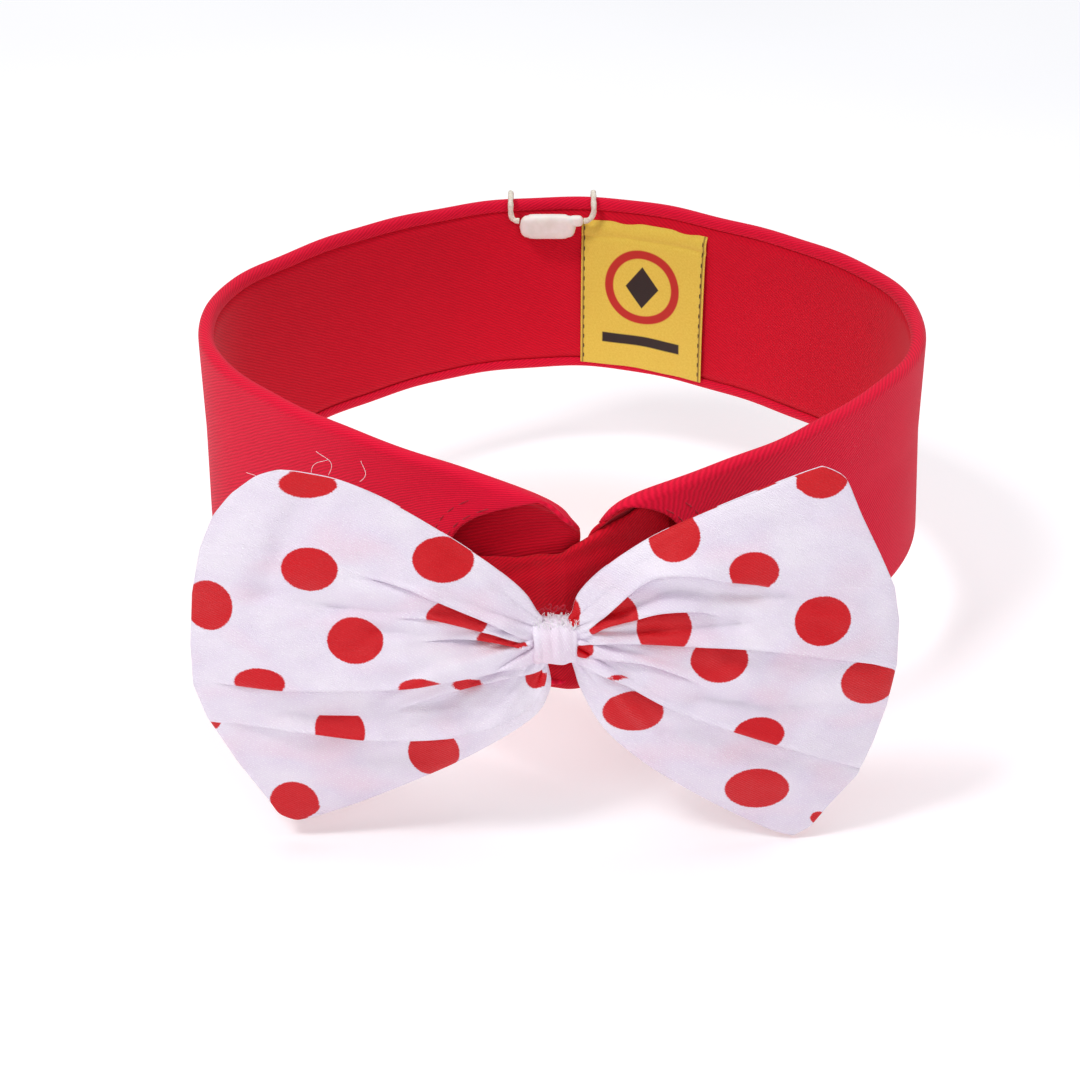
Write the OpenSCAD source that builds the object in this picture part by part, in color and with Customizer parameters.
/* [Neck band] */
// Width of the band's ring across the neck, outside to outside
ring_w = 130; // [120:1:140]
// Reach of the ring from its centre to the sharp point that its front sides meet in
front_reach = 72; // [68:1:78]
// Height of the band
band_h = 38; // [34:1:44]
// Thickness of the outer twill shell
shell_t = 1.0; // [0.8:0.1:1.2]
// Thickness of the stiffener between shell and lining
interlining_t = 0.6; // [0.4:0.1:0.8]
// Thickness of the inner lining
lining_t = 0.9; // [0.7:0.1:1.2]
// Height of the shell's roll over the top and bottom edges
roll_h = 2.5; // [2:0.5:4]
// Half of the gap between the band's two open ends at the front
mouth_half_gap = 3.4; // [2.5:0.1:4.5]

/* [Elastic bridge] */
// Half of the length of the gathered bridge between the two ends
bridge_half_l = 14; // [12:1:16]
// Height of the gathered bridge
bridge_h = 25; // [20:1:27]
// How far the bridge hangs below the band's middle
bridge_drop = 2.8; // [0:0.1:3]
// Thickness of the bridge casing with the elastic in it
bridge_t = 2.4; // [2.2:0.1:2.6]
// Thickness of the elastic
elastic_t = 0.8; // [0.6:0.1:1.0]

/* [Bow] */
// How far the bow sits to the left of the band's middle
bow_shift = 2; // [0:0.5:3]
// How far the bow's middle hangs below the band's
bow_drop = 2.4; // [0:0.2:4]
// Reach of the left wing from the knot's middle
left_reach = 54.5; // [48:0.5:60]
// Reach of the right wing from the knot's middle
right_reach = 51.5; // [48:0.5:60]
// Height of a wing's outer end above the band's middle
wing_top = 28.5; // [26:0.5:33]
// Depth of a wing's outer end below the band's middle
wing_drop = 36; // [32:0.5:38]
// Thickness of a wing's puffed front panel
puff_front = 5; // [3:0.5:6]
// Thickness of a wing's puffed back panel
puff_back = 3; // [2:0.5:3.5]
// Width of the ribbon round the knot
knot_w = 6.8; // [6:0.1:8]
// Height of the knot
knot_h = 8.6; // [8:0.1:10]

/* [Label and tag] */
// Width of the woven label
label_w = 26.5; // [20:0.5:27]
// Width of the string loop where it crosses the band's top edge
string_span = 17; // [15:1:19]
// Thickness of the tag string
string_d = 1.2; // [1:0.1:1.4]
// Length of the plastic tag seal
seal_l = 11.6; // [10:0.1:12.5]

/* [Hidden] */

// Gap between nested layers of cloth
layer_gap = 0.1;
// Play between pieces of cloth that move apart
body_gap = 0.4;
// Angle from one corner of a curved wall to the next
step_a = 5;
// Direction of the ring's front, seen from above
front_a = 270;

// Plan of the ring: four shallow lobes, drawn out at the front to a rounded point
lobe_r = ring_w / 2 - 3.1;
nose_a = acos(lobe_r / front_reach);
nose_round_a = 2.5;
nose_blend_a = [20, 45];
function smooth(t) = let (c = max(0, min(1, t))) c * c * (3 - 2 * c);
function ramp(x, span) = smooth((x - span[0]) / (span[1] - span[0]));
function off_front(a) = min(abs(a - front_a), abs(a - front_a + 360));
function lobe(a) = lobe_r + 1.2 * cos(2 * a) + 1.8 * cos(4 * a);
function nose(d) = lobe_r / cos(nose_a - min(nose_a, norm([d, nose_round_a])));
function plan_r(a) =
    let (d = off_front(a), w = ramp(d, nose_blend_a))
    (1 - w) * nose(d) + w * lobe(a);

// The two layers part at the front to let the bridge in
mouth_open = bridge_t + 2 * body_gap - interlining_t - 2 * layer_gap;
mouth_span_a = [15, 30];
function parted(a) = mouth_open * (1 - ramp(off_front(a), mouth_span_a));

// Depths below the ring's outside
lining_in = shell_t + interlining_t + 2 * layer_gap;
wall_t = lining_in + lining_t;
bridge_in = shell_t + body_gap;
// The ring runs from the right mouth round the back to the left mouth
mouth_a = asin(mouth_half_gap / front_reach);
ring_a = [front_a - 360 + mouth_a, front_a - mouth_a];
bridge_a = asin(bridge_half_l / (front_reach - bridge_in));
casing_rim = 2;

// Stitches
stitch_d = 0.6;
stitch_l = 2.2;
stitch_pitch = 3.2;
hem_in = 1.8;
anchor_in = 7;

// Label: from the seam under the roll to just above the bottom edge
label_t = 0.5;
label_left_x = 4.4;
label_z = [-band_h / 2 + 2, band_h / 2 - roll_h - 1.6];
label_r = plan_r(75) - wall_t;
label_a = [acos((label_left_x + label_w) / label_r), acos(label_left_x / label_r)];

// Tag seal: it hangs inside the back of the ring and swings about its string
seal_x = -2.7;
seal_h = 5;
seal_t = 3;
seal_top_z = 16.6;
seal_gap = 1.4;
seal_y = plan_r(90) - wall_t - seal_gap - seal_t / 2;
swing_z = seal_top_z - 1.3;
plug_r = 1.1;
plug_l = 3;

// Knot: an oval cuff round the bow's gathered middle
bow_x = -bow_shift;
bow_z = -bow_drop;
knot_y = -75.7;
wrap_t = 0.7;
centre_r = knot_h / 2 - wrap_t - 0.7;
centre_half_l = 4.4;
casing_front_y = -(plan_r(front_a) - bridge_in);

// Wings
wing_start = knot_w / 2 + 3.3;
interfacing_t = 0.6;
crown_scale = 0.7;
edge_t = 1;

// Route of the tag string's centre line, from the seal's left end to its plug
string_a_x = seal_x - seal_l / 2 - 0.05;
string_b_x = seal_x + seal_l / 2 + plug_l / 2 + 0.05;
left_x = -10.3;
right_x = left_x + string_span;
out_y = 63.6;
over_z = band_h / 2 + 1.3;
cross_z = 11.2;
STRING = [
    [string_a_x, seal_y, swing_z],
    [string_a_x - 0.8, seal_y, swing_z + 0.1],
    [string_a_x - 1.5, seal_y, swing_z + 0.7],
    [left_x, seal_y + 0.1, swing_z + 1.9],
    [left_x, seal_y + 0.2, swing_z + 3.3],
    [left_x, seal_y + 0.8, over_z - 0.9],
    [left_x, seal_y + 2.0, over_z - 0.1],
    [left_x, seal_y + 3.4, over_z],
    [left_x, seal_y + 4.8, over_z - 0.3],
    [left_x, seal_y + 5.9, over_z - 1.3],
    [left_x, out_y - 0.6, over_z - 2.9],
    [left_x, out_y - 0.5, cross_z + 4.2],
    [left_x + 0.3, out_y - 0.5, cross_z + 2.4],
    [left_x + 1.3, out_y - 0.4, cross_z + 0.9],
    [left_x + 3.0, out_y - 0.1, cross_z + 0.1],
    [left_x + 5.2, out_y + 0.1, cross_z],
    [left_x + 7.6, out_y + 0.2, cross_z - 0.1],
    [right_x - 7.2, out_y + 0.2, cross_z - 0.1],
    [right_x - 5.0, out_y + 0.2, cross_z],
    [right_x - 2.9, out_y + 0.1, cross_z + 0.2],
    [right_x - 1.2, out_y + 0.1, cross_z + 1.1],
    [right_x - 0.3, out_y, cross_z + 2.6],
    [right_x, out_y, cross_z + 4.4],
    [right_x, out_y, over_z - 2.9],
    [right_x, seal_y + 6.2, over_z - 1.3],
    [right_x, seal_y + 5.1, over_z - 0.3],
    [right_x, seal_y + 3.6, over_z + 0.1],
    [right_x, seal_y + 2.1, over_z - 0.2],
    [right_x, seal_y + 0.9, over_z - 1.1],
    [right_x, seal_y + 0.3, swing_z + 3.2],
    [right_x, seal_y + 0.1, swing_z + 1.8],
    [right_x - 0.5, seal_y, swing_z + 0.7],
    [string_b_x + 0.8, seal_y, swing_z + 0.1],
    [string_b_x, seal_y, swing_z]
];

// A point of the plan, some way inside the ring's outside
function plan_pt(a, in) = (plan_r(a) - in) * [cos(a), sin(a)];

// A curved wall from one angle to another; the k values let a face follow the parted mouth
module wall(a, in0, in1, z, k0 = 0, k1 = 0) {
    n = ceil((a[1] - a[0]) / step_a);
    turn = [for (i = [0:n]) a[0] + (a[1] - a[0]) * i / n];
    outer = [for (t = turn) plan_pt(t, in0 + k0 * parted(t))];
    inner = [for (i = [n:-1:0]) plan_pt(turn[i], in1 + k1 * parted(turn[i]))];
    translate([0, 0, z[0]])
        linear_extrude(z[1] - z[0]) polygon(concat(outer, inner));
}

// A stitch along Z, standing on a wall's face
module stitch(a, in, z, d = stitch_d, l = stitch_l) {
    p = plan_pt(a, in);
    translate([p[0], p[1], z - l / 2]) cylinder(d = d, h = l, $fn = 24);
}

// A row of stitches up the outside of the shell, some way from the mouth; side is -1 or 1
module stitch_row(side, from_mouth) {
    a = front_a + side * asin((mouth_half_gap + from_mouth) / front_reach);
    n = floor((band_h - 2 * roll_h) / stitch_pitch / 2);
    for (i = [-n:n]) stitch(a, 0, i * stitch_pitch);
}

// A cylinder along X
module rod_x(r, l, at) {
    translate(at) rotate([0, 90, 0]) cylinder(r = r, h = l, center = true, $fn = 48);
}

// A cylinder along Y, from one y to another
module rod_y(r, x, y0, y1, z) {
    translate([x, y1, z]) rotate([90, 0, 0]) cylinder(r = r, h = y1 - y0, $fn = 24);
}

// A tube swept along a route, with frames carried from ring to ring without twist
function unit(v) = v / norm(v);
function heading(p, i) = unit(p[min(i + 1, len(p) - 1)] - p[max(i - 1, 0)]);
function carry(u, t) = unit(u - (u * t) * t);
module tube(p, d, sides = 8) {
    n = len(p);
    u = [for (i = 0, v = carry([0, 0, 1], heading(p, 0)); i < n;
              i = i + 1, v = i < n ? carry(v, heading(p, i)) : v) v];
    rings = [for (i = [0:n - 1], k = [0:sides - 1])
        p[i] + d / 2 * (cos(360 * k / sides) * u[i]
            + sin(360 * k / sides) * cross(heading(p, i), u[i]))];
    skin = [for (i = [0:n - 2], k = [0:sides - 1]) let (m = (k + 1) % sides)
        [i * sides + k, (i + 1) * sides + k, (i + 1) * sides + m, i * sides + m]];
    start = [for (k = [0:sides - 1]) k];
    end = [for (k = [sides - 1:-1:0]) (n - 1) * sides + k];
    polyhedron(rings, concat(skin, [start, end]));
}

// Outline of a wing: u runs outward from the knot, v upward
function wing_outline(r) = [
    [wing_start, 5.6],
    [0.28 * r, 0.64 * wing_top],
    [0.62 * r, 0.96 * wing_top],
    [0.76 * r, wing_top],
    [0.88 * r, 0.86 * wing_top],
    [0.95 * r, 0.5 * wing_top],
    [r, 0.05 * wing_top],
    [0.97 * r, -0.4 * wing_drop],
    [0.86 * r, -0.9 * wing_drop],
    [0.74 * r, -wing_drop],
    [0.5 * r, -0.84 * wing_drop],
    [0.22 * r, -0.52 * wing_drop],
    [wing_start, -0.22 * wing_drop]
];

// One slab of a wing between two depths in front of (or behind) its middle plane
module wing_slab(side, r, y0, y1, shrink = 1) {
    mid = [0.56 * r, -0.05 * wing_drop];
    shape = [for (p = wing_outline(r)) mid + shrink * (p - mid)];
    translate([bow_x, knot_y + y1, bow_z])
        rotate([90, 0, 0])
            linear_extrude(y1 - y0) polygon([for (p = shape) [side * p[0], p[1]]]);
}

// A puffed panel: flat where it meets the interfacing, crowned away from it
module wing_panel(side, r, front, puff) {
    near = interfacing_t / 2 + layer_gap;
    hull() {
        wing_slab(side, r, front * near - (front < 0 ? edge_t : 0),
            front * near + (front > 0 ? edge_t : 0));
        wing_slab(side, r, front * (near + puff) - (front > 0 ? edge_t : 0),
            front * (near + puff) + (front < 0 ? edge_t : 0), crown_scale);
    }
}

// Oval section of the knot, drawn with its width along x and its height along y
module oval(w, h) {
    polygon([for (t = [0:10:350])
        [w / 2 * sign(cos(t)) * pow(abs(cos(t)), 0.8), h / 2 * sign(sin(t)) * pow(abs(sin(t)), 0.8)]]);
}

// An oval bar along X about the knot's middle
module oval_bar(h, half_l) {
    translate([bow_x - half_l, knot_y, bow_z])
        rotate([90, 0, 90]) linear_extrude(2 * half_l) oval(h, h);
}

// Outer twill: its wall, and its roll over the top and bottom edges to the inside
module band_shell() {
    open_a = 1;
    inner_h = band_h / 2 - roll_h;
    color("#e0002d") difference() {
        wall(ring_a, 0, wall_t, [-band_h / 2, band_h / 2], 0, 1);
        wall([ring_a[0] - open_a, ring_a[1] + open_a], shell_t, wall_t + 2, [-inner_h, inner_h], 0, 1);
    }
}

// Inner twill, between the two rolls
module band_lining() {
    inner_h = band_h / 2 - roll_h - layer_gap;
    color("#c8001e") wall(ring_a, lining_in, wall_t, [-inner_h, inner_h], 1, 1);
}

// Stiffener between shell and lining, stopping short of the mouths
module band_interlining() {
    inner_h = band_h / 2 - roll_h - layer_gap;
    back_a = [front_a - 360 + mouth_span_a[1], front_a - mouth_span_a[1]];
    color("#f2f0ea")
        wall(back_a, shell_t + layer_gap, shell_t + layer_gap + interlining_t, [-inner_h, inner_h]);
}

// Hem stitches of the two mouths
module left_hem_stitches() {
    color("#c40026") stitch_row(-1, hem_in);
}
module right_hem_stitches() {
    color("#c40026") stitch_row(1, hem_in);
}

// Stitches that hold the bridge's ends in the mouths
module left_anchor_stitches() {
    color("#c40026") stitch_row(-1, anchor_in);
}
module right_anchor_stitches() {
    color("#c40026") stitch_row(1, anchor_in);
}

// Label on the lining, and the stitches down its two side edges
module woven_label() {
    color("#e6cc46") wall(label_a, wall_t + layer_gap / 2, wall_t + layer_gap / 2 + label_t, label_z);
}
module label_stitches() {
    fine = 0.4;
    margin_a = 0.9;
    color("#3a2a20")
        for (a = [label_a[0] + margin_a, label_a[1] - margin_a], z = [label_z[0] + 2:stitch_pitch:label_z[1] - 1])
            stitch(a, wall_t + layer_gap / 2 + label_t, z, fine);
}

// Tag string: up over the top edge, across the outside, and back
module tag_string() {
    color("#f0ead6") tube(STRING, string_d);
}

// Plastic seal that closes the tag string: a bar with rounded long edges and a plug socket
module tag_seal() {
    socket_l = plug_l / 2 + 0.1;
    color("#f4f1ea") difference() {
        union() {
            translate([seal_x, seal_y, seal_top_z - seal_h / 2])
                cube([seal_l, seal_t, seal_h - seal_t], center = true);
            for (z = [seal_top_z - seal_t / 2, seal_top_z - seal_h + seal_t / 2])
                rod_x(seal_t / 2, seal_l, [seal_x, seal_y, z]);
        }
        rod_x(plug_r + 0.05, socket_l + 1, [seal_x + (seal_l - socket_l + 1) / 2, seal_y, swing_z]);
    }
}
module seal_plug() {
    color("#f4f1ea") rod_x(plug_r, plug_l, [seal_x + seal_l / 2, seal_y, swing_z]);
}

// Gathered tube of twill that joins the two mouths, with the elastic inside it
function bridge_z(half_h) = [-bridge_drop - half_h, -bridge_drop + half_h];
module bridge_casing() {
    span = [front_a - bridge_a, front_a + bridge_a];
    skin = (bridge_t - elastic_t) / 2 - layer_gap;
    color("#d00026") difference() {
        wall(span, bridge_in, bridge_in + bridge_t, bridge_z(bridge_h / 2));
        wall([span[0] - 1, span[1] + 1], bridge_in + skin, bridge_in + bridge_t - skin,
            bridge_z(bridge_h / 2 - casing_rim));
    }
}
module bridge_elastic() {
    skin = (bridge_t - elastic_t) / 2;
    color("#efece4")
        wall([front_a - bridge_a, front_a + bridge_a], bridge_in + skin, bridge_in + skin + elastic_t,
            bridge_z(bridge_h / 2 - casing_rim - layer_gap));
}

// Middle of the bow's two satin panels, gathered into a round waist
module bow_centre() {
    flare_l = centre_half_l - knot_w / 2;
    color("#f6f0f0") {
        rod_x(centre_r, 2 * centre_half_l, [bow_x, knot_y, bow_z]);
        for (side = [-1, 1])
            rod_x(knot_h / 2, flare_l - 0.2,
                [bow_x + side * (centre_half_l - flare_l / 2 + 0.1), knot_y, bow_z]);
    }
}

// Three turns of thread that hold the gathers, under the ribbon
module gather_thread() {
    turn_pitch = 1.5;
    thread_r = 0.25;
    color("#ffffff")
        for (i = [-1:1])
            translate([bow_x + i * turn_pitch, knot_y, bow_z])
                rotate([0, 90, 0])
                    rotate_extrude($fn = 48) translate([centre_r + thread_r, 0]) circle(r = thread_r, $fn = 16);
}

// Satin ribbon wrapped round the gathered middle
module knot_wrap() {
    color("#faf6f4") difference() {
        oval_bar(knot_h, knot_w / 2);
        oval_bar(knot_h - 2 * wrap_t, knot_w / 2 + 1);
    }
}

// Stitches that close the ribbon at the back of the knot
module wrap_closing_stitches() {
    back_y = knot_y + knot_h / 2;
    color("#ffffff")
        for (z = [-2.4:1.6:2.4]) rod_x(stitch_d / 2, stitch_l, [bow_x, back_y, bow_z + z]);
}

// Four threads that tack the knot to the bridge
module bow_tack_stitches() {
    back_y = knot_y + knot_h / 2;
    tack_x = 0.9;
    color("#ffffff")
        for (side = [-1, 1], z = [-1.6, 1.6])
            rod_y(stitch_d / 2, bow_x + side * tack_x, back_y - wrap_t / 2, casing_front_y + 0.4, bow_z + z);
}

// Wings: a puffed front panel, a flatter back panel, and stiff interfacing between them
module left_wing_front() {
    color("#f7f3f5") wing_panel(-1, left_reach, -1, puff_front);
}
module left_wing_back() {
    color("#f2ecef") wing_panel(-1, left_reach, 1, puff_back);
}
module left_wing_interfacing() {
    color("#ffffff") wing_slab(-1, left_reach, -interfacing_t / 2, interfacing_t / 2, 0.97);
}
module right_wing_front() {
    color("#f7f3f5") wing_panel(1, right_reach, -1, puff_front);
}
module right_wing_back() {
    color("#f2ecef") wing_panel(1, right_reach, 1, puff_back);
}
module right_wing_interfacing() {
    color("#ffffff") wing_slab(1, right_reach, -interfacing_t / 2, interfacing_t / 2, 0.97);
}

band_shell();
band_lining();
band_interlining();
left_hem_stitches();
right_hem_stitches();
left_anchor_stitches();
right_anchor_stitches();
woven_label();
label_stitches();
tag_string();
tag_seal();
seal_plug();
bridge_casing();
bridge_elastic();
bow_centre();
gather_thread();
knot_wrap();
wrap_closing_stitches();
bow_tack_stitches();
left_wing_front();
left_wing_back();
left_wing_interfacing();
right_wing_front();
right_wing_back();
right_wing_interfacing();
